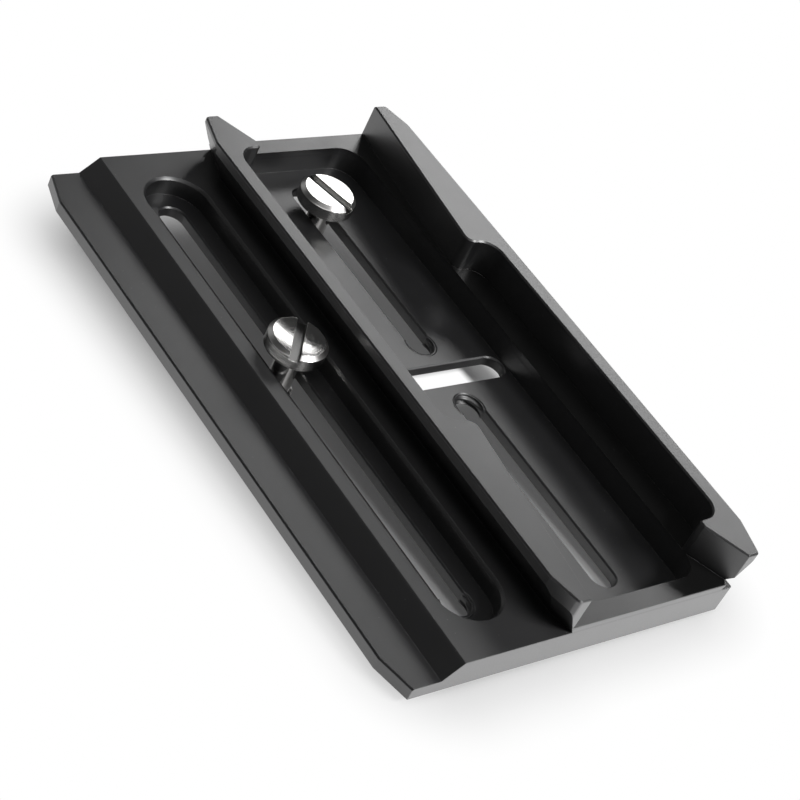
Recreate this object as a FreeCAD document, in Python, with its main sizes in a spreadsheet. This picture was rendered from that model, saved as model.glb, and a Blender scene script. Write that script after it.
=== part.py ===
import FreeCAD, Part
import math
import os
import Sketcher

# Quick release plate of a camera gimbal: one milled aluminium plate with a male dovetail on top
# and two slotted camera screws that slide in it. X runs across the plate, Y along it and Z up
# from the face that meets the camera. The origin is the middle of the dovetail on that face.


# Sizes in millimetres and degrees, one cell each
SIZES = [
    ("plate_length", 128.0, "Length along the dovetail"),
    ("left_reach", 55.8, "Dovetail's middle to the plate's left edge"),
    ("plateau_height", 6.35, "Milled top beside the dovetail"),
    ("flange_height", 2.8, "Thin flange along the left edge"),
    ("flange_width", 8.2, "Left edge to the foot of the bevel"),
    ("floor_thickness", 2.4, "Floor under both screw recesses"),
    ("ledge_height", 7.8, "Sill at both ends and ledge inside the rails"),
    ("dovetail_width", 50.0, "Across the lips of the two rails"),
    ("dovetail_height", 15.2, "Top of the rails"),
    ("lip_depth", 2.1, "Upright lip above the undercut flank"),
    ("flank_angle", 30.0, "Undercut flank, measured from upright"),
    ("base_shoulder", 0.35, "Base's right side, out from the foot of the flank"),
    ("long_lead_length", 7.8, "Longer lead-in of each rail, along the plate"),
    ("long_lead_depth", 2.15, "Longer lead-in, in from the lip at the end face"),
    ("long_lead_lip", 0.9, "Upright lip left at the longer lead-in"),
    ("short_lead_length", 6.5, "Shorter lead-in of each rail, along the plate"),
    ("short_lead_depth", 1.9, "Shorter lead-in, in from the lip at the end face"),
    ("short_lead_lip", 3.0, "Upright lip at the shorter lead-in"),
    ("corner_cut_length", 7.4, "Cut-back corners of the flange, along the plate"),
    ("corner_cut_depth", 2.1, "Cut-back corners of the flange, across the plate"),
    ("thin_wall", 0.44, "Rail wall left at the ledge, between a bay and the undercut flank"),
    ("bay_depth", 6.0, "Step from the thick rail stretch out to the bay"),
    ("bay_start", 21.7, "Middle to the step between thick and thin rail"),
    ("bay_inset", 10.1, "End face to the stop block that ends a bay"),
    ("stop_length", 1.7, "Land of the stop block before its mitre"),
    ("mitre_back", 1.5, "Mitre at the end face, in from the bay's wall"),
    ("taper_back", 1.2, "Tapered rail at the end face, in from the bay's wall"),
    ("sill_length", 3.8, "Sill between the middle recess and an end face"),
    ("recess_corner", 5.0, "Corner radius of the middle recess"),
    ("bay_corner", 4.0, "Hollow corners inside the rails"),
    ("step_corner", 2.0, "Outward corner where the tapered rail ends"),
    ("stop_corner", 0.8, "Outward corner of the stop block"),
    ("rail_tip_radius", 1.1, "Rounded outer corners of the rail ends"),
    ("base_corner_radius", 0.5, "Rounded right-hand corners of the base"),
    ("side_recess_offset", 33.75, "Dovetail's middle to the side recess"),
    ("side_recess_width", 13.5, "Side recess for a screw's head"),
    ("side_recess_inset", 7.25, "End face to the side recess"),
    ("slot_width", 5.5, "Slots that a screw's neck slides in"),
    ("side_slot_inset", 14.0, "End face to the side slot's end centres"),
    ("middle_slot_inset", 12.0, "End face to the end centre of a middle slot"),
    ("middle_hole_offset", 8.6, "Plate's middle to the tapped hole of a middle slot"),
    ("tapped_radius", 3.2, "Entry hole that a screw is threaded through"),
    ("cross_slot_width", 5.4, "Cross slot for a locating pin"),
    ("cross_slot_inset", 0.6, "Cross slot's ends to the walls of the middle recess"),
    ("recess_chamfer", 0.5, "Broken edge of the side recess"),
    ("slot_chamfer", 0.3, "Broken edge of slots and tapped holes"),
    ("edge_chamfer", 0.3, "Broken outer edges"),
    ("head_diameter", 11.8, "Camera screw's head"),
    ("head_height", 3.4, "Camera screw's head"),
    ("head_chamfer", 0.8, "Upper edge of the head"),
    ("driver_slot_width", 2.0, "Coin slot across the head"),
    ("driver_slot_depth", 1.4, "Coin slot across the head"),
    ("neck_diameter", 5.0, "Plain neck that slides in a slot"),
    ("neck_length", 8.6, "Plain neck under the head"),
    ("thread_diameter", 6.35, "Quarter inch camera thread"),
    ("thread_length", 3.6, "Threaded end below the neck"),
    ("thread_chamfer", 0.6, "Chamfer at both ends of the thread"),
    ("side_screw_place", 7.75, "Side screw along the plate, from the middle"),
    ("side_screw_height", 7.0, "Underside of the side screw's head"),
    ("side_screw_turn", 49.5, "Direction of the side screw's coin slot"),
    ("middle_screw_inset", 17.1, "End face to the middle screw"),
    ("middle_screw_height", 5.1, "Underside of the middle screw's head"),
    ("middle_screw_turn", 106.7, "Direction of the middle screw's coin slot"),
]

# How far cutting outlines run past the metal, and boxes that pick edges run past those edges
REACH = 1.0


class Size:
    """A length that carries both its number and the sheet expression it comes from."""

    def __init__(self, value, text):
        self.value = value
        self.text = text

    def __add__(self, other):
        other = size_of(other)
        return Size(self.value + other.value, "(%s + %s)" % (self.text, other.text))

    def __sub__(self, other):
        other = size_of(other)
        return Size(self.value - other.value, "(%s - %s)" % (self.text, other.text))

    def __rsub__(self, other):
        return size_of(other) - self

    def __mul__(self, other):
        other = size_of(other)
        return Size(self.value * other.value, "(%s * %s)" % (self.text, other.text))

    def __truediv__(self, other):
        other = size_of(other)
        return Size(self.value / other.value, "(%s / %s)" % (self.text, other.text))

    def __neg__(self):
        return Size(-self.value, "(-1 * %s)" % self.text)


def size_of(number):
    """A Size as it is, or a plain number turned into one."""
    if isinstance(number, Size):
        return number
    return Size(float(number), repr(float(number)))


def slope_of(angle):
    """Sideways step for each millimetre of height, for an angle from upright."""
    return Size(math.tan(math.radians(angle.value)), "tan(%s * 1 deg)" % angle.text)


def make_sheet(doc):
    """Write every size to the sheet and hand back the named sizes."""
    sheet = doc.addObject("Spreadsheet::Sheet", "Sizes")
    named = {}
    for row, (name, value, meaning) in enumerate(SIZES, start=1):
        sheet.set("A%d" % row, name)
        sheet.set("B%d" % row, str(value))
        sheet.set("C%d" % row, meaning)
        sheet.setAlias("B%d" % row, name)
        named[name] = Size(value, "Sizes." + name)
    doc.recompute()
    return named


# Sketches

def sketch_on(body, plane_role, name, lift=None):
    """A sketch on one of the body's own planes, lifted along the plane's normal."""
    sketch = body.newObject("Sketcher::SketchObject", name)
    plane = next(item for item in body.Origin.OriginFeatures if item.Role == plane_role)
    sketch.AttachmentSupport = [(plane, "")]
    sketch.MapMode = "FlatFace"
    if lift is not None:
        sketch.AttachmentOffset = FreeCAD.Placement(FreeCAD.Vector(0, 0, lift.value), FreeCAD.Rotation())
        sketch.setExpression("AttachmentOffset.Base.z", lift.text)
    return sketch


def bind(sketch, kind, places, length):
    """Add one dimension and tie it to its expression."""
    index = sketch.addConstraint(Sketcher.Constraint(kind, *places, length.value))
    sketch.setExpression("Constraints[%d]" % index, length.text)


def pin_point(sketch, edge, end, x, y):
    """Hold one point of an edge at x, y from the sketch's origin."""
    bind(sketch, "DistanceX", (-1, 1, edge, end), size_of(x))
    bind(sketch, "DistanceY", (-1, 1, edge, end), size_of(y))


def draw_outline(sketch, points):
    """A closed outline of straight edges through the points."""
    points = [(size_of(x), size_of(y)) for x, y in points]
    count = len(points)
    first = sketch.GeometryCount
    for index in range(count):
        here = points[index]
        there = points[(index + 1) % count]
        start = FreeCAD.Vector(here[0].value, here[1].value, 0)
        end = FreeCAD.Vector(there[0].value, there[1].value, 0)
        sketch.addGeometry(Part.LineSegment(start, end), False)
    for index in range(count):
        edge = first + index
        sketch.addConstraint(Sketcher.Constraint("Coincident", edge, 2, first + (index + 1) % count, 1))
        pin_point(sketch, edge, 1, *points[index])


def draw_slot(sketch, first_centre, second_centre, radius):
    """A round-ended slot between two centres that share an X or a Y."""
    centres = [tuple(size_of(value) for value in centre) for centre in (first_centre, second_centre)]
    start, end = (FreeCAD.Vector(x.value, y.value, 0) for x, y in centres)
    along = end - start
    along.normalize()
    aside = FreeCAD.Vector(-along.y, along.x, 0) * radius.value
    turn = math.atan2(along.y, along.x)
    base = sketch.GeometryCount
    up = FreeCAD.Vector(0, 0, 1)
    half = math.pi / 2
    far_arc = Part.ArcOfCircle(Part.Circle(end, up, radius.value), turn - half, turn + half)
    near_arc = Part.ArcOfCircle(Part.Circle(start, up, radius.value), turn + half, turn + 3 * half)
    sketch.addGeometry(far_arc, False)
    sketch.addGeometry(Part.LineSegment(end + aside, start + aside), False)
    sketch.addGeometry(near_arc, False)
    sketch.addGeometry(Part.LineSegment(start - aside, end - aside), False)
    for index in range(4):
        link = (base + index, 2, base + (index + 1) % 4, 1)
        sketch.addConstraint(Sketcher.Constraint("Tangent", *link))
    pin_point(sketch, base, 3, *centres[1])
    pin_point(sketch, base + 2, 3, *centres[0])
    bind(sketch, "Radius", (base,), radius)


def draw_circle(sketch, x, y, radius):
    """A circle held by its centre and radius."""
    centre = FreeCAD.Vector(x.value, y.value, 0)
    edge = sketch.addGeometry(Part.Circle(centre, FreeCAD.Vector(0, 0, 1), radius.value), False)
    pin_point(sketch, edge, 3, x, y)
    bind(sketch, "Radius", (edge,), radius)


def turned(points):
    """The same outline half a turn round the plate's middle."""
    return [(-x, -y) for x, y in points]


# Features

def pad_both_ways(body, sketch, name, length):
    """Pad a section evenly to both sides of its plane."""
    pad = body.newObject("PartDesign::Pad", name)
    pad.Profile = sketch
    pad.SideType = "Symmetric"
    pad.Length = length.value
    pad.setExpression("Length", length.text)
    return pad


def cut(body, sketch, name, depth, upward=False):
    """Pocket a sketch below its plane, or above it, and see that metal came off."""
    before = body.Shape.Volume
    pocket = body.newObject("PartDesign::Pocket", name)
    pocket.Profile = sketch
    pocket.Type = "Length"
    pocket.Reversed = upward
    pocket.Length = depth.value
    pocket.setExpression("Length", depth.text)
    body.Document.recompute()
    if body.Shape.Volume > before - 1e-3:
        raise RuntimeError("nothing was cut by " + name)
    return pocket


def cut_aslant(body, sketch, name, depth, direction):
    """Pocket a sketch along a slanting direction, its depth measured square to the sketch."""
    pocket = body.newObject("PartDesign::Pocket", name)
    pocket.Profile = sketch
    pocket.Type = "Length"
    pocket.UseCustomVector = True
    pocket.AlongSketchNormal = True
    pocket.Direction = FreeCAD.Vector(*(value.value for value in direction))
    pocket.Length = depth.value
    pocket.setExpression("Length", depth.text)
    for axis, value in zip("xyz", direction):
        pocket.setExpression("Direction." + axis, value.text)
    body.Document.recompute()
    return pocket


def edge_middle(edge):
    """The point half way along an edge."""
    return edge.valueAt((edge.FirstParameter + edge.LastParameter) / 2)


def flat_edges(shape, height, box):
    """Names of the edges that lie at one height, with their middle inside a plan box."""
    low_x, low_y, high_x, high_y = (size_of(value).value for value in box)
    names = []
    for index, edge in enumerate(shape.Edges, start=1):
        bounds = edge.BoundBox
        middle = edge_middle(edge)
        level = abs(bounds.ZMin - height.value) < 1e-3 and abs(bounds.ZMax - height.value) < 1e-3
        if level and low_x < middle.x < high_x and low_y < middle.y < high_y:
            names.append("Edge%d" % index)
    return names


def edges_near(shape, places):
    """Names of the edges whose middles are nearest to the given places."""
    names = []
    for place in places:
        target = FreeCAD.Vector(*(size_of(value).value for value in place))
        gaps = [(edge_middle(edge).distanceToPoint(target), index)
                for index, edge in enumerate(shape.Edges, start=1)]
        names.append("Edge%d" % min(gaps)[1])
    return names


def dress(body, kind, name, edges, size):
    """Fillet or chamfer the named edges of the body as it stands."""
    before = body.Shape.Volume
    base = body.Tip
    feature = body.newObject("PartDesign::" + kind, name)
    feature.Base = (base, edges)
    key = "Radius" if kind == "Fillet" else "Size"
    setattr(feature, key, size.value)
    feature.setExpression(key, size.text)
    body.Document.recompute()
    if abs(body.Shape.Volume - before) < 1e-4:
        raise RuntimeError("nothing was changed by " + name)
    return feature


# The plate

def dovetail_foot(sizes, lip="lip_depth"):
    """Half the dovetail's width where its flanks meet the plateau, under a lip of that depth."""
    drop = sizes["dovetail_height"] - sizes[lip] - sizes["plateau_height"]
    return sizes["dovetail_width"] / 2 - drop * slope_of(sizes["flank_angle"])


def bay_half_width(sizes):
    """Plate's middle to a bay's wall, which stands clear of the undercut flank at the ledge."""
    drop = sizes["dovetail_height"] - sizes["lip_depth"] - sizes["ledge_height"]
    flank = sizes["dovetail_width"] / 2 - drop * slope_of(sizes["flank_angle"])
    return flank - sizes["thin_wall"]


def recess_half_width(sizes):
    """Plate's middle to the wall of the middle recess and of the thick rail stretch above it."""
    return bay_half_width(sizes) - sizes["bay_depth"]


def plate_section(body, sizes):
    """The extruded section: flange, bevel, plateau and both undercut rails."""
    half_width = sizes["dovetail_width"] / 2
    lip_base = sizes["dovetail_height"] - sizes["lip_depth"]
    foot = dovetail_foot(sizes)
    bevel_foot = sizes["flange_width"] - sizes["left_reach"]
    bevel_top = bevel_foot + sizes["plateau_height"] - sizes["flange_height"]
    sketch = sketch_on(body, "XZ_Plane", "plate_section")
    draw_outline(sketch, [
        (-sizes["left_reach"], 0),
        (foot + sizes["base_shoulder"], 0),
        (foot + sizes["base_shoulder"], sizes["plateau_height"]),
        (foot, sizes["plateau_height"]),
        (half_width, lip_base),
        (half_width, sizes["dovetail_height"]),
        (-half_width, sizes["dovetail_height"]),
        (-half_width, lip_base),
        (-foot, sizes["plateau_height"]),
        (bevel_top, sizes["plateau_height"]),
        (bevel_foot, sizes["flange_height"]),
        (-sizes["left_reach"], sizes["flange_height"]),
    ])
    pad_both_ways(body, sketch, "plate_bar", sizes["plate_length"])
    body.Document.recompute()


def plate_channel(body, sizes):
    """The open channel between the rails, down to the ledge, with its steps and mitres."""
    end = sizes["plate_length"] / 2
    inner = recess_half_width(sizes)
    bay = bay_half_width(sizes)
    height = sizes["dovetail_height"] - sizes["ledge_height"]
    bay_end = end - sizes["bay_inset"]
    left_side = [
        (sizes["taper_back"] - bay, -end),
        (-inner, -sizes["bay_start"]),
        (-bay, -sizes["bay_start"]),
        (-bay, bay_end),
        (-inner, bay_end),
        (-inner, bay_end + sizes["stop_length"]),
        (sizes["mitre_back"] - bay, end),
    ]
    sketch = sketch_on(body, "XY_Plane", "channel_outline", sizes["ledge_height"])
    draw_outline(sketch, left_side + turned(left_side))
    cut(body, sketch, "channel", height, upward=True)

    middle = sizes["ledge_height"] + height / 2
    rounded = [
        ("bay_corner", [(-bay, -sizes["bay_start"]), (-bay, bay_end)]),
        ("step_corner", [(-inner, -sizes["bay_start"])]),
        ("stop_corner", [(-inner, bay_end)]),
    ]
    for name, corners in rounded:
        places = [(x, y, middle) for x, y in corners + turned(corners)]
        dress(body, "Fillet", name + "s", edges_near(body.Shape, places), sizes[name])


def plate_recesses(body, sizes):
    """The two recesses that the screw heads travel in, down to one common floor."""
    floor = sizes["floor_thickness"]
    end = sizes["plate_length"] / 2
    half_width = recess_half_width(sizes)
    half_length = end - sizes["sill_length"]
    sketch = sketch_on(body, "XY_Plane", "recess_outline", floor)
    corner = (half_width, -half_length)
    opposite = (half_width, half_length)
    draw_outline(sketch, [corner, opposite] + turned([corner, opposite]))
    cut(body, sketch, "recess", sizes["ledge_height"] - floor, upward=True)
    middle = (floor + sizes["ledge_height"]) / 2
    places = [(x, y, middle) for x, y in [corner, opposite] + turned([corner, opposite])]
    dress(body, "Fillet", "recess_corners", edges_near(body.Shape, places), sizes["recess_corner"])

    offset = sizes["side_recess_offset"]
    radius = sizes["side_recess_width"] / 2
    reach = end - sizes["side_recess_inset"] - radius
    sketch = sketch_on(body, "XY_Plane", "side_recess_outline", floor)
    draw_slot(sketch, (-offset, -reach), (-offset, reach), radius)
    cut(body, sketch, "side_recess", sizes["plateau_height"] - floor, upward=True)
    wide = radius + REACH
    around = (-offset - wide, -reach - wide, wide - offset, reach + wide)
    edges = flat_edges(body.Shape, sizes["plateau_height"], around)
    dress(body, "Chamfer", "side_recess_edge", edges, sizes["recess_chamfer"])


def slot_centres(sizes):
    """Tapped hole and end centre of each screw slot."""
    end = sizes["plate_length"] / 2
    side_reach = end - sizes["side_slot_inset"]
    offset = sizes["side_recess_offset"]
    hole = sizes["middle_hole_offset"]
    far = end - sizes["middle_slot_inset"]
    return {
        "side_slot": ((-offset, -side_reach), (-offset, side_reach)),
        "near_slot": ((size_of(0), -hole), (size_of(0), -far)),
        "far_slot": ((size_of(0), hole), (size_of(0), far)),
    }


def plate_slots(body, sizes):
    """Three screw slots with an entry hole each, and the cross slot between two of them."""
    floor = sizes["floor_thickness"]
    radius = sizes["slot_width"] / 2
    for name, (hole, end) in slot_centres(sizes).items():
        sketch = sketch_on(body, "XY_Plane", name + "_outline")
        low, high = sorted((hole, end), key=lambda centre: centre[1].value)
        draw_slot(sketch, low, high, radius)
        cut(body, sketch, name, floor, upward=True)
        sketch = sketch_on(body, "XY_Plane", name + "_hole_outline")
        draw_circle(sketch, hole[0], hole[1], sizes["tapped_radius"])
        cut(body, sketch, name + "_hole", floor, upward=True)
    radius = sizes["cross_slot_width"] / 2
    cross_end = recess_half_width(sizes) - sizes["cross_slot_inset"]
    reach = cross_end - radius
    sketch = sketch_on(body, "XY_Plane", "cross_slot_outline")
    draw_slot(sketch, (-reach, 0), (reach, 0), radius)
    cut(body, sketch, "cross_slot", floor, upward=True)

    wide = sizes["tapped_radius"] + REACH
    end = sizes["plate_length"] / 2
    side = end - sizes["side_slot_inset"] + wide
    offset = sizes["side_recess_offset"]
    middle = end - sizes["middle_slot_inset"] + wide
    across = cross_end + sizes["cross_slot_inset"] / 2
    for height, label in ((floor, "upper"), (size_of(0), "lower")):
        edges = flat_edges(body.Shape, height, (-offset - wide, -side, wide - offset, side))
        edges += flat_edges(body.Shape, height, (-across, -middle, across, middle))
        dress(body, "Chamfer", label + "_slot_edges", edges, sizes["slot_chamfer"])


def plate_lead_in(body, sizes, kind, rail, end_side):
    """One tapered start of the dovetail: rail 1 is the right one, end_side 1 the far end face."""
    end = sizes["plate_length"] / 2
    half_width = sizes["dovetail_width"] / 2
    length = sizes[kind + "_length"]
    depth = sizes[kind + "_depth"]
    lip = sizes[kind + "_lip"]
    step = depth / length
    shift = depth + step * REACH
    beyond = half_width + REACH
    above = sizes["dovetail_height"] + REACH
    before = body.Shape.Volume
    name = "%s_%s" % ("right" if rail > 0 else "left", kind)
    sketch = sketch_on(body, "XZ_Plane", name + "_section", (end + REACH) * -end_side)
    draw_outline(sketch, [
        (beyond * rail, sizes["plateau_height"]),
        ((dovetail_foot(sizes, kind + "_lip") - shift) * rail, sizes["plateau_height"]),
        ((half_width - shift) * rail, sizes["dovetail_height"] - lip),
        ((half_width - shift) * rail, above),
        (beyond * rail, above),
    ])
    direction = (step * rail, size_of(-end_side), size_of(0))
    cut_aslant(body, sketch, name, length + 2 * REACH, direction)
    if body.Shape.Volume > before - 1e-3:
        raise RuntimeError("nothing was cut for " + name)


def plate_lead_ins(body, sizes):
    """Both lead-ins of both rails; the two rails are alike, half a turn apart."""
    for rail in (1, -1):
        plate_lead_in(body, sizes, "long_lead", rail, -rail)
        plate_lead_in(body, sizes, "short_lead", rail, rail)


def plate_corners(body, sizes):
    """The cut-back corners of the flange and the rounded ends of the square rail ends."""
    end = sizes["plate_length"] / 2
    left = -sizes["left_reach"]
    depth = sizes["corner_cut_depth"]
    length = sizes["corner_cut_length"]
    for side, label in ((-1, "near"), (1, "far")):
        sketch = sketch_on(body, "XY_Plane", label + "_corner_outline")
        draw_outline(sketch, [
            (left - REACH, (end + REACH) * side),
            (left + depth + depth / length * REACH, (end + REACH) * side),
            (left - REACH, (end - length - length / depth * REACH) * side),
        ])
        cut(body, sketch, label + "_corner", sizes["plateau_height"], upward=True)


def plate_outer_edges(body, sizes):
    """Rounded rail tips and base corners, and broken edges round the outside."""
    end = sizes["plate_length"] / 2
    half_width = sizes["dovetail_width"] / 2
    tips = []
    for kind, rail in (("short_lead", -1), ("long_lead", 1)):
        lip_middle = sizes["dovetail_height"] - sizes[kind + "_lip"] / 2
        tips.append(((half_width - sizes[kind + "_depth"]) * rail, -end, lip_middle))
    tips += [(-x, -y, z) for x, y, z in tips]
    dress(body, "Fillet", "rail_tips", edges_near(body.Shape, tips), sizes["rail_tip_radius"])
    foot = dovetail_foot(sizes)
    right = foot + sizes["base_shoulder"]
    base_corners = [(right, end * side, sizes["plateau_height"] / 2) for side in (-1, 1)]
    corners = edges_near(body.Shape, base_corners)
    dress(body, "Fillet", "base_corners", corners, sizes["base_corner_radius"])

    left = -sizes["left_reach"] - REACH
    everything = (left, -end - REACH, half_width + REACH, end + REACH)
    rail_tops = flat_edges(body.Shape, sizes["dovetail_height"], everything)
    dress(body, "Chamfer", "rail_top_edges", rail_tops, sizes["edge_chamfer"])
    slots_left = -sizes["side_recess_offset"] - sizes["tapped_radius"] - REACH
    slots_box = (slots_left, REACH - end, recess_half_width(sizes), end - REACH)
    slots = flat_edges(body.Shape, size_of(0), slots_box)
    rim = [name for name in flat_edges(body.Shape, size_of(0), everything) if name not in slots]
    dress(body, "Chamfer", "under_edges", rim, sizes["edge_chamfer"])
    strip_right = sizes["corner_cut_depth"] + REACH - sizes["left_reach"]
    strip = (left, -end - REACH, strip_right, end + REACH)
    flange = flat_edges(body.Shape, sizes["flange_height"], strip)
    dress(body, "Chamfer", "flange_edges", flange, sizes["edge_chamfer"])


def build_plate(doc, sizes):
    """The whole plate, feature by feature as it is milled."""
    body = doc.addObject("PartDesign::Body", "plate_body")
    body.Label = "plate"
    plate_section(body, sizes)
    plate_channel(body, sizes)
    plate_recesses(body, sizes)
    plate_slots(body, sizes)
    plate_lead_ins(body, sizes)
    plate_corners(body, sizes)
    plate_outer_edges(body, sizes)
    return body


# The camera screws

def build_screw(doc, sizes, name, centre_x, place):
    """One camera screw turned to shape, then slotted, at its place in a slot."""
    body = doc.addObject("PartDesign::Body", name + "_body")
    body.Label = name
    head = sizes["head_diameter"] / 2
    neck = sizes["neck_diameter"] / 2
    thread = sizes["thread_diameter"] / 2
    shoulder = -sizes["neck_length"]
    tip = shoulder - sizes["thread_length"]
    bevel = sizes["thread_chamfer"]
    sketch = sketch_on(body, "XZ_Plane", name + "_profile")
    draw_outline(sketch, [
        (0, tip),
        (thread - bevel, tip),
        (thread, tip + bevel),
        (thread, shoulder - bevel),
        (thread - bevel, shoulder),
        (neck, shoulder),
        (neck, 0),
        (head, 0),
        (head, sizes["head_height"] - sizes["head_chamfer"]),
        (head - sizes["head_chamfer"], sizes["head_height"]),
        (0, sizes["head_height"]),
    ])
    turning = body.newObject("PartDesign::Revolution", name + "_turning")
    turning.Profile = sketch
    turning.ReferenceAxis = (sketch, ["V_Axis"])
    turning.Angle = 360
    doc.recompute()

    across = sizes["driver_slot_width"] / 2
    sketch = sketch_on(body, "XY_Plane", name + "_driver_outline", sizes["head_height"])
    corner = (head + REACH, -across)
    opposite = (head + REACH, across)
    draw_outline(sketch, [corner, opposite] + turned([corner, opposite]))
    cut(body, sketch, name + "_driver_slot", sizes["driver_slot_depth"])

    seat = name.replace("camera_", "")
    height = sizes[seat + "_height"]
    turn = sizes[seat + "_turn"]
    axis = FreeCAD.Vector(0, 0, 1)
    spot = FreeCAD.Vector(centre_x.value, place.value, height.value)
    body.Placement = FreeCAD.Placement(spot, FreeCAD.Rotation(axis, turn.value))
    body.setExpression("Placement.Base.x", centre_x.text)
    body.setExpression("Placement.Base.y", place.text)
    body.setExpression("Placement.Base.z", height.text)
    body.setExpression("Placement.Rotation.Angle", turn.text)
    doc.recompute()
    return body


def main():
    doc = FreeCAD.newDocument("quick_release_plate")
    sizes = make_sheet(doc)
    side_place = sizes["side_screw_place"]
    middle_place = sizes["plate_length"] / 2 - sizes["middle_screw_inset"]
    bodies = [
        build_plate(doc, sizes),
        build_screw(doc, sizes, "side_camera_screw", -sizes["side_recess_offset"], side_place),
        build_screw(doc, sizes, "middle_camera_screw", size_of(0), middle_place),
    ]
    doc.recompute()
    for item in doc.Objects:
        if "Invalid" in item.State or "Error" in item.State:
            raise RuntimeError("%s did not rebuild" % item.Label)
    for body in bodies:
        if body.Shape.isNull() or not body.Shape.isValid():
            raise RuntimeError("%s has no valid shape" % body.Label)
    os.makedirs("parts", exist_ok=True)
    for body in bodies:
        body.Shape.exportStep(os.path.join("parts", body.Label + ".step"))
        print(body.Label, round(body.Shape.Volume, 1), len(body.Shape.Solids), body.Shape.BoundBox)


main()
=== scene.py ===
import math

import bpy
from mathutils import Matrix, Vector


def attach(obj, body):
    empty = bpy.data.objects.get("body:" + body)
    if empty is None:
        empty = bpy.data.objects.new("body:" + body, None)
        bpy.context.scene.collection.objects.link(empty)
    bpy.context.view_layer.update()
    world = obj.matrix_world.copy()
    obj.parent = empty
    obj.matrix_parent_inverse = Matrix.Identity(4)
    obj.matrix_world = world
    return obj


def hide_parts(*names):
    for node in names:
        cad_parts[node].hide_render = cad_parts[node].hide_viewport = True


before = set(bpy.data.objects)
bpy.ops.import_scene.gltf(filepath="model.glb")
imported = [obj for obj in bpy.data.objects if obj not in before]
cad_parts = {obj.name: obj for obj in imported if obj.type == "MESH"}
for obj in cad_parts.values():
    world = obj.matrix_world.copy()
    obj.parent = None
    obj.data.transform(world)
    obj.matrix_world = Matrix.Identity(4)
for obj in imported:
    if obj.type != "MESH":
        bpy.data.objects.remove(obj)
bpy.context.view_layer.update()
scene = bpy.context.scene


# The view of the photograph: a long lens held above the plate's near left corner,
# with a slight roll, as it was measured from the plate's own edges.

view_data = bpy.data.cameras.new("photo_view")
view_data.lens = 95.94
view_data.sensor_width = 36.0
view_data.clip_start = 0.01
view_data.clip_end = 20.0
photo_view = bpy.data.objects.new("photo_view", view_data)
view_eye = Vector((-0.26768, -0.19575, 0.23820))
view_right = Vector((0.75653, -0.53111, 0.38155))
view_up = Vector((0.13195, 0.69541, 0.70639))
view_back = Vector((-0.64051, -0.48406, 0.59618))
photo_view.matrix_world = Matrix.Translation(view_eye) @ Matrix(
    (view_right, view_up, view_back)).transposed().to_4x4()
scene.collection.objects.link(photo_view)
scene.camera = photo_view


# The plate: one bar of aluminium, milled all over, bead blasted very finely and anodised black.
# The anodised skin is hard and half glossy. It keeps the faint lines of the cutter, a little dust
# lies on it, and its edges are very slightly rounded, worn in nicks and painted paler as a
# highlight.

class Flow:
    """One socket of a material or of a shape's node tree, with maths as plain expressions."""

    def __init__(self, tree, socket=None):
        self.tree = tree
        self.socket = socket

    def node(self, kind, settings=None, ramp=None, out=0, **inputs):
        """Add a node: its settings and ramp stops first, then values or links by socket name."""
        made = self.tree.nodes.new(kind)
        for key, value in (settings or {}).items():
            setattr(made, key, value)
        if ramp:
            stops = made.color_ramp.elements
            while len(stops) < len(ramp):
                stops.new(0.5)
            for stop, (place, shade) in zip(stops, ramp):
                stop.position = place
                stop.color = (shade, shade, shade, 1.0)
        for key, value in inputs.items():
            numbered = key[0] == "n" and key[1:].isdigit()
            target = made.inputs[int(key[1:])] if numbered else made.inputs[key.replace("_", " ")]
            if isinstance(value, Flow):
                self.tree.links.new(value.socket, target)
            else:
                target.default_value = value
        return Flow(self.tree, made.outputs[out])

    def worked(self, operation, *values):
        """One Math node on the values given, in their order."""
        numbered = {"n%d" % index: value for index, value in enumerate(values)}
        return self.node("ShaderNodeMath", {"operation": operation}, **numbered)

    def maths(self, operation, *others):
        """One Math node on this socket, and then on any other values."""
        return self.worked(operation, self, *others)

    def __add__(self, other):
        return self.worked("ADD", self, other)

    def __radd__(self, other):
        return self.worked("ADD", other, self)

    def __sub__(self, other):
        return self.worked("SUBTRACT", self, other)

    def __rsub__(self, other):
        return self.worked("SUBTRACT", other, self)

    def __mul__(self, other):
        return self.worked("MULTIPLY", self, other)

    def __rmul__(self, other):
        return self.worked("MULTIPLY", other, self)

    def __truediv__(self, other):
        return self.worked("DIVIDE", self, other)

    def __rtruediv__(self, other):
        return self.worked("DIVIDE", other, self)

    def part(self, axis):
        """One coordinate of a vector."""
        return self.node("ShaderNodeSeparateXYZ", out="XYZ".index(axis), n0=self)

    def mixed(self, first, second):
        """Blend two colours, with this socket as the share of the second."""
        return self.node("ShaderNodeMix", {"data_type": "RGBA"}, out=2,
                         n0=self, n6=first, n7=second)

    def faded(self, start, end):
        """A smooth rise from 0 where this socket is at start to 1 where it is at end."""
        return self.node("ShaderNodeMapRange", {"interpolation_type": "SMOOTHSTEP"},
                         n0=self, n1=start, n2=end, n3=0.0, n4=1.0)

    def between(self, low, high, fade):
        """1 between two values and 0 outside them, with a smooth step of two fades at each."""
        return self.faded(low - fade, low + fade) * (1.0 - self.faded(high - fade, high + fade))


def new_finish(name, **constants):
    """A material with one Principled shader, its constants set, and its place on the object."""
    finish = bpy.data.materials.new(name)
    finish.use_nodes = True
    shader = finish.node_tree.nodes["Principled BSDF"]
    for key, value in constants.items():
        shader.inputs[key.replace("_", " ")].default_value = value
    place = Flow(finish.node_tree).node("ShaderNodeTexCoord", out=3)
    return finish, shader, place


def feed(shader, **flows):
    """Link flows to a shader's inputs by name."""
    for key, flow in flows.items():
        flow.tree.links.new(flow.socket, shader.inputs[key.replace("_", " ")])


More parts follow.
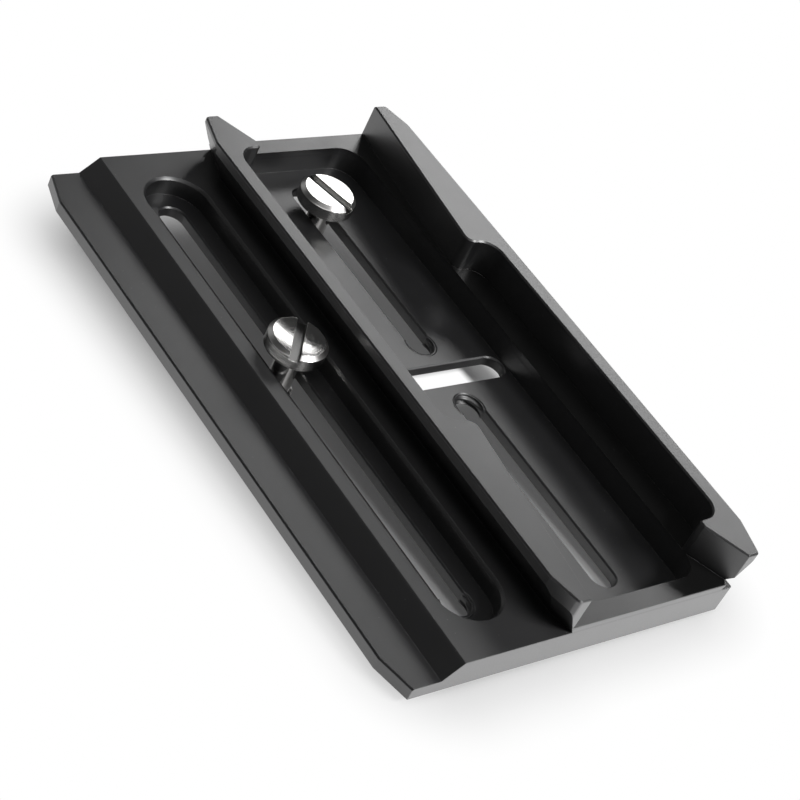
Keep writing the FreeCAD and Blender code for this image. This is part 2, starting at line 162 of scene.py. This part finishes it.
anodised, skin, place = new_finish("black_anodised_aluminium", Metallic=0.0, IOR=2.0,
                                   Coat_Roughness=0.22)
grain = place.node("ShaderNodeTexNoise", n0=place, Scale=5200.0, Detail=3.0, Roughness=0.6)
clouds = place.node("ShaderNodeTexNoise", n0=place, Scale=140.0, Detail=4.0, Roughness=0.55)
stretched = place.node("ShaderNodeMapping", n0=place, Scale=(9000.0, 260.0, 9000.0))
cutter_lines = place.node("ShaderNodeTexNoise", n0=stretched, Scale=1.0, Detail=2.0)
specks = place.node("ShaderNodeTexVoronoi", n0=place, Scale=330.0)
dust = specks.node("ShaderNodeValToRGB", ramp=[(0.0, 1.0), (0.03, 0.6), (0.05, 0.0)], n0=specks)

# The finish differs a little from level to level above the camera side: the plateau and the sills
# are duller, and the rails' tops are glossier. The ledges in the bays are painted a darker black as
# the shade that lies on them, and the near end face is painted lighter as the light that falls on
# it, and is glossier.
level_fade = 0.0001
ledge_low, ledge_high = 0.0075, 0.0081
plateau_low, plateau_high = 0.0061, 0.0066
rail_top_level = 0.0151
end_face_reach = 0.0639
level = place.part("Z")
shaded_bay_ledge = level.between(ledge_low, ledge_high, level_fade)
off_shaded_ledge = 1.0 - shaded_bay_ledge
plateau = level.between(plateau_low, plateau_high, level_fade)
rail_top = level.faded(rail_top_level - level_fade, rail_top_level + level_fade)
# Painted light: the near end face is made paler and glossier, standing for the light that falls on
# it.
near_end_painted_light = (0.0 - place.part("Y")).faded(end_face_reach - 0.5 * level_fade,
                                         end_face_reach + 0.5 * level_fade)

# Where the rounded normal turns away from the true one there is an edge: the black is worn thin
# there in small nicks, and all along it is painted a little paler as a highlight, though not on the
# bay ledges.
edge_radius = 0.00016
rounded = place.node("ShaderNodeBevel", {"samples": 4}, Radius=edge_radius)
true_normal = place.node("ShaderNodeNewGeometry", out=1)
turn = rounded.node("ShaderNodeVectorMath", {"operation": "DOT_PRODUCT"}, out=1,
                    n0=rounded, n1=true_normal)
nicks = place.node("ShaderNodeTexNoise", n0=place, Scale=1500.0, Detail=3.0)
worn_and_edge_highlight = (1.0 - turn).faded(0.004, 0.04) * (nicks.faded(0.52, 0.66) * 0.5 + 0.06) * off_shaded_ledge

black = (0.012, 0.012, 0.013, 1.0)
# Painted shade: the bay ledges take a darker black than the rest of the plate.
ledge_painted_shade = (0.004, 0.004, 0.004, 1.0)
pale_grey = (0.5, 0.5, 0.5, 1.0)
# The base colour: real dust, worn and highlighted edges, the painted light of the near end face,
# and the painted shade of the bay ledges.
base = (dust * 0.2 + worn_and_edge_highlight * 0.35 + near_end_painted_light * 0.15).mixed(
    shaded_bay_ledge.mixed(black, ledge_painted_shade), pale_grey)
roughness = 0.34 + clouds * 0.08 + grain * 0.06 + plateau * 0.12 - shaded_bay_ledge * 0.10
coat = (0.20 + near_end_painted_light * 0.80 + rail_top * 0.4) * off_shaded_ledge * (0.4 + grain * 1.2)
height = grain * 0.6 + cutter_lines * 0.4
bump = height.node("ShaderNodeBump", Strength=0.32, Distance=0.00003, Height=height,
                   Normal=rounded)
feed(skin, Base_Color=base, Roughness=roughness, Normal=bump, Coat_Weight=coat)

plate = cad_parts["plate"]
plate.data.materials.clear()
plate.data.materials.append(anodised)


# The threads of the three entry holes: the quarter inch camera thread, 20 turns to the inch,
# tapped through the floor of the plate. The slot that runs out of each hole cuts the turns off,
# and their ends lie flush with the slot's walls.

thread_pitch = 0.00127
hole_radius = 0.0032
hole_crest_radius = 0.00262
hole_depth = 0.0024
hole_edge = 0.0001
hole_rows = 40
slot_half_width = 0.00275
wall_bite = 0.00005
run_out = 0.3
ridge_foot = 0.12
ridge_top = 0.95
weld_distance = 0.000002
sharp_angle = math.radians(32.0)


def new_tree(name, **inputs):
    """An empty tree of geometry nodes with named inputs, and the flows that its inputs start."""
    tree = bpy.data.node_groups.new(name, "GeometryNodeTree")
    tree.interface.new_socket("Outline", in_out="INPUT", socket_type="NodeSocketGeometry")
    kinds = {float: "NodeSocketFloat", int: "NodeSocketInt", tuple: "NodeSocketVector",
             type(None): "NodeSocketMaterial"}
    for key, value in inputs.items():
        made = tree.interface.new_socket(key.replace("_", " "), in_out="INPUT",
                                         socket_type=kinds[type(value)])
        if value is not None:
            made.default_value = value
    tree.interface.new_socket("Shape", in_out="OUTPUT", socket_type="NodeSocketGeometry")
    start = tree.nodes.new("NodeGroupInput")
    given = {socket.name: Flow(tree, socket) for socket in start.outputs if socket.name}
    return tree, given


def closed_tree(shape, finish):
    """End a tree: real faces, the material, and the output."""
    real = shape.node("GeometryNodeRealizeInstances", n0=shape)
    done = real.node("GeometryNodeSetMaterial", n0=real, Material=finish)
    end = shape.tree.nodes.new("NodeGroupOutput")
    shape.tree.links.new(done.socket, end.inputs[0])


def around(given, sweep):
    """A grid with one row for each point of the outline, and each point's radius, height, angle."""
    rows = given["Outline"].node("GeometryNodeAttributeDomainSize", n0=given["Outline"])
    sides = given["Sides"]
    grid = sides.node("GeometryNodeMeshGrid", n2=sides + 1.0, n3=rows)
    index = sides.node("GeometryNodeInputIndex")
    row = index.maths("MODULO", rows)
    column = ((index + 0.5) / rows).maths("FLOOR")
    place = sides.node("GeometryNodeInputPosition")
    point = grid.node("GeometryNodeSampleIndex", {"data_type": "FLOAT_VECTOR"},
                      n0=given["Outline"], n1=place, n2=row)
    angle = (column / sides - 0.5) * sweep
    return grid, point.part("X"), point.part("Z"), angle


def turned(grid, radius, height, angle):
    """Set the grid's points round the axis and close its seam and poles."""
    place = radius.node("ShaderNodeCombineXYZ", n0=radius * angle.maths("COSINE"),
                        n1=radius * angle.maths("SINE"), n2=height)
    moved = grid.node("GeometryNodeSetPosition", n0=grid, Position=place)
    return moved.node("GeometryNodeMergeByDistance", n0=moved, Distance=weld_distance)


def thread_ridge(angle, height, pitch):
    """How far up a right hand thread's flank a point is, from 0 at the root to 1 at the crest."""
    phase = (height / pitch - angle / math.tau).maths("FRACT")
    slope = 1.0 - (phase * 2.0 - 1.0).maths("ABSOLUTE")
    return slope.faded(ridge_foot, ridge_top)


def formed(name, outline, tree, **values):
    """Run a tree on an outline of radius and height points, and keep the result as a plain mesh."""
    mesh = bpy.data.meshes.new(name)
    mesh.from_pydata([(radius, 0.0, height) for radius, height in outline],
                     [(index, index + 1) for index in range(len(outline) - 1)], [])
    piece = bpy.data.objects.new(name, mesh)
    scene.collection.objects.link(piece)
    forming = piece.modifiers.new("forming", "NODES")
    forming.node_group = tree
    for item in tree.interface.items_tree:
        key = item.name.replace(" ", "_")
        if item.in_out == "INPUT" and key in values:
            forming[item.identifier] = values[key]
    ready = piece.evaluated_get(bpy.context.evaluated_depsgraph_get())
    plain = bpy.data.meshes.new_from_object(ready)
    piece.modifiers.remove(forming)
    piece.data = plain
    plain.name = name
    for face in plain.polygons:
        face.use_smooth = True
    plain.set_sharp_from_angle(angle=sharp_angle)
    return piece


tapped, given = new_tree("tapped_thread", Sides=64, Pitch=thread_pitch, Wall_Radius=hole_radius,
                         Crest_Radius=hole_crest_radius, Depth=hole_depth,
                         Slot_Half_Width=slot_half_width, Slot_Turn=0.0,
                         Centre=(0.0, 0.0, 0.0), Finish=None)
arc_end = math.asin(slot_half_width / (hole_radius + wall_bite))
grid, radius, height, angle = around(given, math.tau - 2.0 * arc_end)

# The ridge fades out over part of a turn towards both ends of the hole.
from_edge = height.maths("MINIMUM", given["Depth"] - height)
lead = (from_edge / (given["Pitch"] * run_out)).maths("MINIMUM", 1.0)
ridge = thread_ridge(angle + given["Slot Turn"], height, given["Pitch"])
depth = (given["Wall Radius"] - given["Crest Radius"]) * ridge * lead

# On the side of the slot the ridge is cut off where the slot's walls run.
inner = radius.maths("LESS_THAN", given["Wall Radius"])
slot_side = angle.maths("COSINE").maths("LESS_THAN", 0.0)
across = angle.maths("SINE").maths("ABSOLUTE").maths("MAXIMUM", 0.05)
cut = given["Slot Half Width"] / across * slot_side
milled = (radius - depth).maths("MAXIMUM", cut)
outer_wall = given["Wall Radius"] + wall_bite
reach = milled.maths("MINIMUM", outer_wall) * inner + outer_wall * (1.0 - inner)
shape = turned(grid, reach, height, angle)
spin = shape.node("ShaderNodeCombineXYZ", n2=given["Slot Turn"] + math.pi)
placed = shape.node("GeometryNodeTransform", n0=shape, Translation=given["Centre"], Rotation=spin)
closed_tree(placed, given["Finish"])

wall_rows = [hole_depth - hole_edge - (hole_depth - 2.0 * hole_edge) * row / hole_rows
             for row in range(hole_rows + 1)]
hole_outline = ([(hole_radius + wall_bite, wall_rows[-1]), (hole_radius + wall_bite, wall_rows[0])]
                + [(hole_radius - wall_bite, level) for level in wall_rows]
                + [(hole_radius + wall_bite, wall_rows[-1])])
entry_holes = {"side_entry_thread": ((-0.03375, -0.050, 0.0), 90.0),
               "near_entry_thread": ((0.0, -0.0086, 0.0), -90.0),
               "far_entry_thread": ((0.0, 0.0086, 0.0), 90.0)}
for name, (centre, slot_turn) in entry_holes.items():
    thread = formed(name, hole_outline, tapped, Centre=centre, Slot_Turn=math.radians(slot_turn),
                    Finish=anodised)
    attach(thread, "plate")


# The two camera screws: turned from steel bar, slotted for a coin, left bright and clean. Each has
# a plain neck that slides in its slot and a short quarter inch thread at its end.
# Their heads are faced off in fine rings, so they catch the light in a fan.

head_radius = 0.0059
head_height = 0.0034
head_chamfer = 0.0008
head_back_chamfer = 0.0003
face_radius = head_radius - head_chamfer
face_steps = 8
neck_radius = 0.0025
neck_length = 0.0086
thread_length = 0.0036
thread_start = 0.0004
tip_chamfer = 0.0006
thread_steps = 50
coin_floor_low = -0.00175
coin_floor_high = -0.00115
steel_fade = 0.00005
chamfer_fade = 0.00002
crest_radius = 0.003175
root_radius = 0.00242
coin_slot_width = 0.0020
coin_slot_depth = 0.0014
coin_slot_break = 0.00012

turned_steel, steel, place = new_finish("bright_turned_steel", Metallic=1.0)

# The place on the lathe is stored with the shape: across from the axis, and up from the top of the
# head. It tells the rings, the slot's floor and the chamfer where they are.
dark_steel = (0.64, 0.635, 0.62, 1.0)
light_steel = (0.80, 0.79, 0.775, 1.0)
# The grey of the painted shade on the coin slot's floor.
slot_floor_painted_shade = (0.10, 0.10, 0.10, 1.0)
lathe = place.node("ShaderNodeAttribute", {"attribute_name": "lathe_place"}, out=1)
across_x = lathe.part("X")
across_y = lathe.part("Y")
along = lathe.part("Z")
from_axis = (across_x * across_x + across_y * across_y).maths("SQRT")
face_rings = from_axis.node("ShaderNodeTexNoise", {"noise_dimensions": "1D"}, n1=from_axis,
                            Scale=9000.0, Detail=3.0)
side_rings = along.node("ShaderNodeTexNoise", {"noise_dimensions": "1D"}, n1=along,
                        Scale=7000.0, Detail=3.0)
smudges = place.node("ShaderNodeTexNoise", n0=place, Scale=420.0, Detail=4.0)
on_side = from_axis.faded(head_radius - 3.0 * steel_fade, head_radius - steel_fade)
rings = face_rings * 0.5 + side_rings * (0.5 + on_side * 2.0)
# Painted shade: the coin slot's floor is made dark grey, as the shade down in the slot.
shaded_slot_floor = along.between(coin_floor_low, coin_floor_high, steel_fade) * (1.0 - on_side)
on_chamfer = from_axis.faded(face_radius, face_radius + steel_fade) * along.faded(
    -head_chamfer - chamfer_fade, -head_chamfer + chamfer_fade)
broken_edge = place.node("ShaderNodeBevel", {"samples": 4}, Radius=0.00014)
turning = rings.node("ShaderNodeBump", Strength=0.35, Distance=0.00006, Height=rings,
                     Normal=broken_edge)
bright = smudges.mixed(dark_steel, light_steel)
feed(steel, Base_Color=(shaded_slot_floor * 0.8).mixed(bright, slot_floor_painted_shade),
     Roughness=0.09 + smudges * 0.08 + shaded_slot_floor * 0.16 + on_chamfer * 0.18, Normal=turning)

camera_screw, given = new_tree("camera_screw", Sides=192, Pitch=thread_pitch,
                               Crest_Radius=crest_radius, Root_Radius=root_radius, Thread_Top=0.0,
                               Coin_Slot_Width=coin_slot_width, Coin_Slot_Depth=coin_slot_depth,
                               Coin_Slot_Break=coin_slot_break, Coin_Slot_Turn=0.0, Head_Top=0.0,
                               Centre=(0.0, 0.0, 0.0), Finish=None)
grid, radius, height, angle = around(given, math.tau)
ridge = thread_ridge(angle, height, given["Pitch"])
groove = given["Root Radius"] + (given["Crest Radius"] - given["Root Radius"]) * ridge
below = height.maths("LESS_THAN", given["Thread Top"])
threaded = radius.maths("MINIMUM", groove) * below + radius * (1.0 - below)
shape = turned(grid, threaded, height, angle)

# The coin slot is cut by a blade, and a square bar turned on its edge breaks the slot's edges.
length = given["Crest Radius"] * 8.0
deep = given["Coin Slot Depth"] * 2.0
blade_size = shape.node("ShaderNodeCombineXYZ", n0=length, n1=given["Coin Slot Width"], n2=deep)
blade = shape.node("GeometryNodeMeshCube", n0=blade_size)
side = (given["Coin Slot Width"] * 0.5 + given["Coin Slot Break"]) * math.sqrt(2.0)
bar_size = shape.node("ShaderNodeCombineXYZ", n0=length, n1=side, n2=side)
bar = shape.node("GeometryNodeMeshCube", n0=bar_size)
breaker = bar.node("GeometryNodeTransform", n0=bar, Rotation=(math.radians(45.0), 0.0, 0.0))
both = shape.tree.nodes.new("GeometryNodeJoinGeometry")
shape.tree.links.new(blade.socket, both.inputs[0])
shape.tree.links.new(breaker.socket, both.inputs[0])
cutter = Flow(shape.tree, both.outputs[0])
top = shape.node("ShaderNodeCombineXYZ", n2=given["Head Top"])
spin = shape.node("ShaderNodeCombineXYZ", n2=given["Coin Slot Turn"])
cutter = cutter.node("GeometryNodeTransform", n0=cutter, Translation=top, Rotation=spin)
slotted = shape.node("GeometryNodeMeshBoolean", {"operation": "DIFFERENCE", "solver": "EXACT"},
                     n0=shape, n1=cutter, Self_Intersection=True)
below_top = slotted.node("ShaderNodeVectorMath", {"operation": "SUBTRACT"},
                         n0=slotted.node("GeometryNodeInputPosition"), n1=top)
kept = slotted.node("GeometryNodeStoreNamedAttribute",
                    {"data_type": "FLOAT_VECTOR", "domain": "POINT"},
                    n0=slotted, Name="lathe_place", n3=below_top)
placed = kept.node("GeometryNodeTransform", n0=kept, Translation=given["Centre"])
closed_tree(placed, given["Finish"])

screws = {"side_camera_screw": (-0.03375, 0.00775, 0.0070, 49.5, 0.00060, "side_screw"),
          "middle_camera_screw": (0.0, 0.0469, 0.0051, 106.7, 0.00006, "middle_screw")}
for node, (centre_x, centre_y, head_level, slot_turn, face_dish, body) in screws.items():
    head_top = head_level + head_height
    thread_top = head_level - neck_length
    tip = thread_top - thread_length
    full_thread = thread_length - thread_start - tip_chamfer
    thread_rows = [thread_top - thread_start - full_thread * row / thread_steps
                   for row in range(thread_steps + 1)]
    dish = [(face_radius * step / face_steps,
             head_top - face_dish * (1.0 - (step / face_steps) ** 2))
            for step in range(face_steps + 1)]
    outline = (dish
               + [(head_radius, head_top - head_chamfer),
                  (head_radius, head_level + head_back_chamfer),
                  (head_radius - head_back_chamfer, head_level)]
               + [(neck_radius, head_level), (neck_radius, thread_top)]
               + [(crest_radius, level) for level in thread_rows]
               + [(crest_radius - tip_chamfer, tip), (0.0, tip)])
    screw = formed(node.replace("camera_screw", "turned_screw"), outline, camera_screw,
                   Thread_Top=thread_top, Coin_Slot_Turn=math.radians(slot_turn),
                   Head_Top=head_top, Centre=(centre_x, centre_y, 0.0), Finish=turned_steel)
    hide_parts(node)
    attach(screw, body)


# The table that the plate lies on, covered with white paper. The plate stands on both screws' tips
# and on its near right corner, so the table runs a few degrees off level in the plate's own frame.

table_rise_x = 0.014677
table_rise_y = -0.061184
table_level = -0.0044305
table_reach = 3.0
plate_middle_x = -0.0129

corners = [(-table_reach, -table_reach), (table_reach, -table_reach),
           (table_reach, table_reach), (-table_reach, table_reach)]
table_mesh = bpy.data.meshes.new("table")
table_mesh.from_pydata([(x, y, table_level + table_rise_x * x + table_rise_y * y)
                        for x, y in corners], [], [(0, 1, 2, 3)])
table = bpy.data.objects.new("table", table_mesh)
scene.collection.objects.link(table)

paper = bpy.data.materials.new("white_paper")
paper.use_nodes = True
start = Flow(paper.node_tree)
place = start.node("ShaderNodeTexCoord", out=3)
off_middle_x = (place.part("X") - plate_middle_x).maths("ABSOLUTE")
off_middle_y = place.part("Y").maths("ABSOLUTE")


def outside(half_width, half_length):
    """How far a spot on the table lies outside a rectangle under the middle of the plate."""
    past_x = (off_middle_x - half_width).maths("MAXIMUM", 0.0)
    past_y = (off_middle_y - half_length).maths("MAXIMUM", 0.0)
    return (past_x * past_x + past_y * past_y).maths("SQRT")


def near_line(axis, centre, inner, outer):
    """1 on the table up to inner from a line across an axis, and fading to 0 at outer."""
    return 1.0 - (place.part(axis) - centre).maths("ABSOLUTE").faded(inner, outer)


# The paper is matt, so the plate's shadow falls on it. Away from the plate the view sees it as
# plain white, and the plate and the screws mirror it as white. Painted light glows white in a patch
# under the cross slot, for the light falling through it, and very faintly under the middle slots.
least_glow = 0.05
full_glow = 0.95
painted_light_patch_x = 0.0022
painted_light_patch_y = 0.0035
beside = outside(0.0400, 0.0610).faded(0.0, 0.005)
clear = outside(0.0270, 0.0540).faded(0.0, 0.026)
# Painted light: glowing patches stand for the light falling through the cross slot and spilled
# under the middle slots.
painted_light_under_cross_slot = (near_line("X", painted_light_patch_x, 0.0090, 0.0115)
                    * near_line("Y", painted_light_patch_y, 0.0020, 0.0045))
painted_light_under_middle_slots = place.part("X").faded(-0.026, -0.014) * 0.03
glowing = (clear + painted_light_under_cross_slot + painted_light_under_middle_slots).maths("MINIMUM", 1.0)
seen = start.node("ShaderNodeLightPath", out=0)
mirrored = start.node("ShaderNodeLightPath", out=3)
share = seen * glowing * full_glow + mirrored * beside * full_glow + least_glow
glow = start.node("ShaderNodeEmission", Color=(1, 1, 1, 1), Strength=1.0)
matt = start.node("ShaderNodeBsdfDiffuse", Color=(0.9, 0.9, 0.9, 1))
blend = start.node("ShaderNodeMixShader", n0=share, n1=matt, n2=glow)
paper.node_tree.links.new(blend.socket, paper.node_tree.nodes["Material Output"].inputs["Surface"])
table_mesh.materials.append(paper)


# The light of the studio: a low window behind on the right that draws the tops of the plate, a
# small softbox at the near right for the screws and the near end, a dim fill at the far left, and
# a soft one overhead. The room is dark, and the view sees it as white.

def lamp(name, place, width, height, power):
    """A rectangular lamp that points at the middle of the plate's frame."""
    data = bpy.data.lights.new(name, "AREA")
    data.shape = "RECTANGLE"
    data.size = width
    data.size_y = height
    data.energy = power
    made = bpy.data.objects.new(name, data)
    made.location = place
    made.rotation_euler = (-Vector(place)).to_track_quat("-Z", "Y").to_euler()
    scene.collection.objects.link(made)


world = bpy.data.worlds.new("studio")
scene.world = world
world.use_nodes = True
start = Flow(world.node_tree)
seen = start.node("ShaderNodeLightPath", out=0)
dim = start.node("ShaderNodeBackground", Color=(1, 1, 1, 1), Strength=0.035)
white = start.node("ShaderNodeBackground", Color=(1, 1, 1, 1), Strength=1.0)
sky = start.node("ShaderNodeMixShader", n0=seen, n1=dim, n2=white)
world.node_tree.links.new(sky.socket, world.node_tree.nodes["World Output"].inputs["Surface"])

lamp("back_right_window", (0.675, 0.405, 0.455), 0.58, 0.20, 1.40)
lamp("near_right_softbox", (0.42, -0.80, 0.92), 0.50, 0.26, 9.0)
lamp("back_fill_softbox", (-0.30, 0.84, 0.24), 0.90, 0.34, 0.32)
lamp("overhead_softbox", (-0.10, -0.10, 1.10), 0.6, 0.6, 2.0)

scene.view_settings.view_transform = "Standard"
